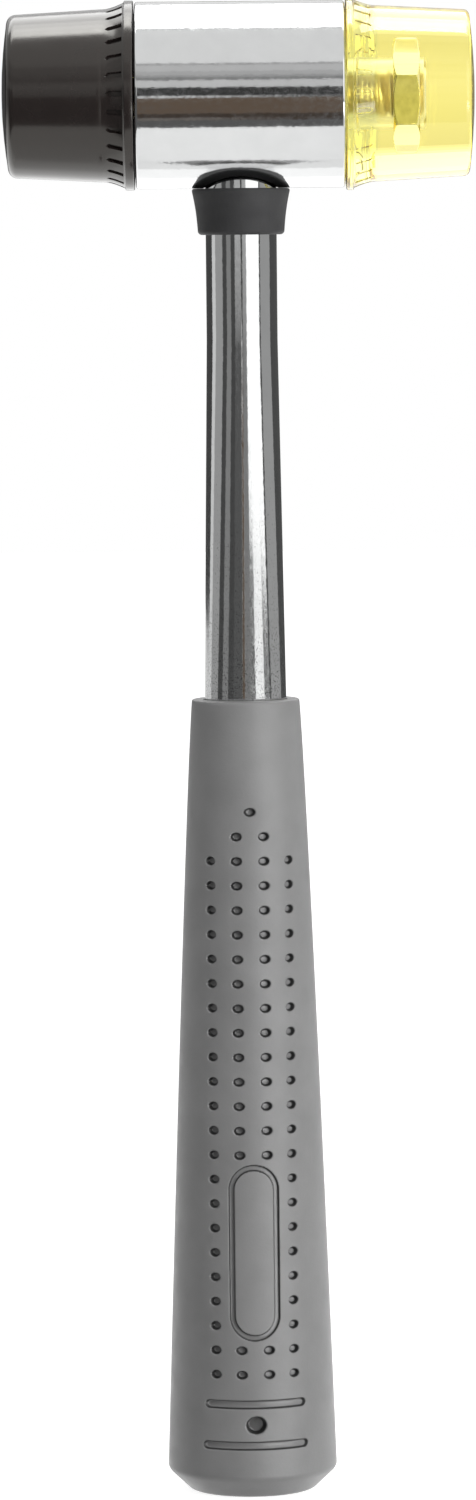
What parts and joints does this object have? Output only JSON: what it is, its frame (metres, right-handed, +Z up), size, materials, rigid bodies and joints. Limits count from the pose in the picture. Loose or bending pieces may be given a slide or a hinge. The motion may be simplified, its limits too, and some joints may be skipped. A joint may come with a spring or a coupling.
{
  "type": "soft-tip mallet",
  "caption": "Double-faced mallet with a chromed steel head, screw-on rubber and clear plastic tips, a tubular steel handle and a dimpled moulded grip.",
  "frame": {"origin": "middle of the flat butt of the grip, on the handle's axis", "axes": "+Z up the handle towards the head, +X along the head towards the yellow tip, -Y out of the front of the grip"},
  "size_m": [0.1016, 0.0412, 0.3242],
  "materials": {
    "chrome": "bright chrome plate",
    "zinc_steel": "yellow zinc plate",
    "black_rubber": "smooth satin",
    "collar_rubber": "matt",
    "clear_yellow_plastic": "clear, polished",
    "grey_rubber": "satin moulded"
  },
  "bodies": {
    "mallet": {"head_body": "chrome", "handle_tube": "chrome", "tube_plug": "zinc_steel", "neck_collar": "collar_rubber", "grip": "grey_rubber"},
    "black_stud": {"black_tip_stud": "zinc_steel"},
    "black_tip_unit": {"black_tip": "black_rubber", "black_tip_nut": "zinc_steel"},
    "yellow_stud": {"yellow_tip_stud": "zinc_steel"},
    "yellow_tip_unit": {"yellow_tip": "clear_yellow_plastic", "yellow_tip_nut": "zinc_steel"}
  },
  "joints": [
    {"name": "black_tip_turn", "type": "hinge", "parent": "mallet", "child": "black_stud", "pos_m": [-0.0225, 0, 0.3036], "axis": [-1, 0, 0], "range_deg": [0, 1440]},
    {"name": "black_tip_travel", "type": "slide", "parent": "black_stud", "child": "black_tip_unit", "axis": [-1, 0, 0], "range_m": [0, 0.006]},
    {"name": "yellow_tip_turn", "type": "hinge", "parent": "mallet", "child": "yellow_stud", "pos_m": [0.0225, 0, 0.3036], "axis": [1, 0, 0], "range_deg": [0, 1440]},
    {"name": "yellow_tip_travel", "type": "slide", "parent": "yellow_stud", "child": "yellow_tip_unit", "axis": [1, 0, 0], "range_m": [0, 0.006]}
  ],
  "couplings": [
    {"joint": "black_tip_travel", "follows": "black_tip_turn", "m_per_rad": 0.00023873},
    {"joint": "yellow_tip_travel", "follows": "yellow_tip_turn", "m_per_rad": 0.00023873}
  ]
}
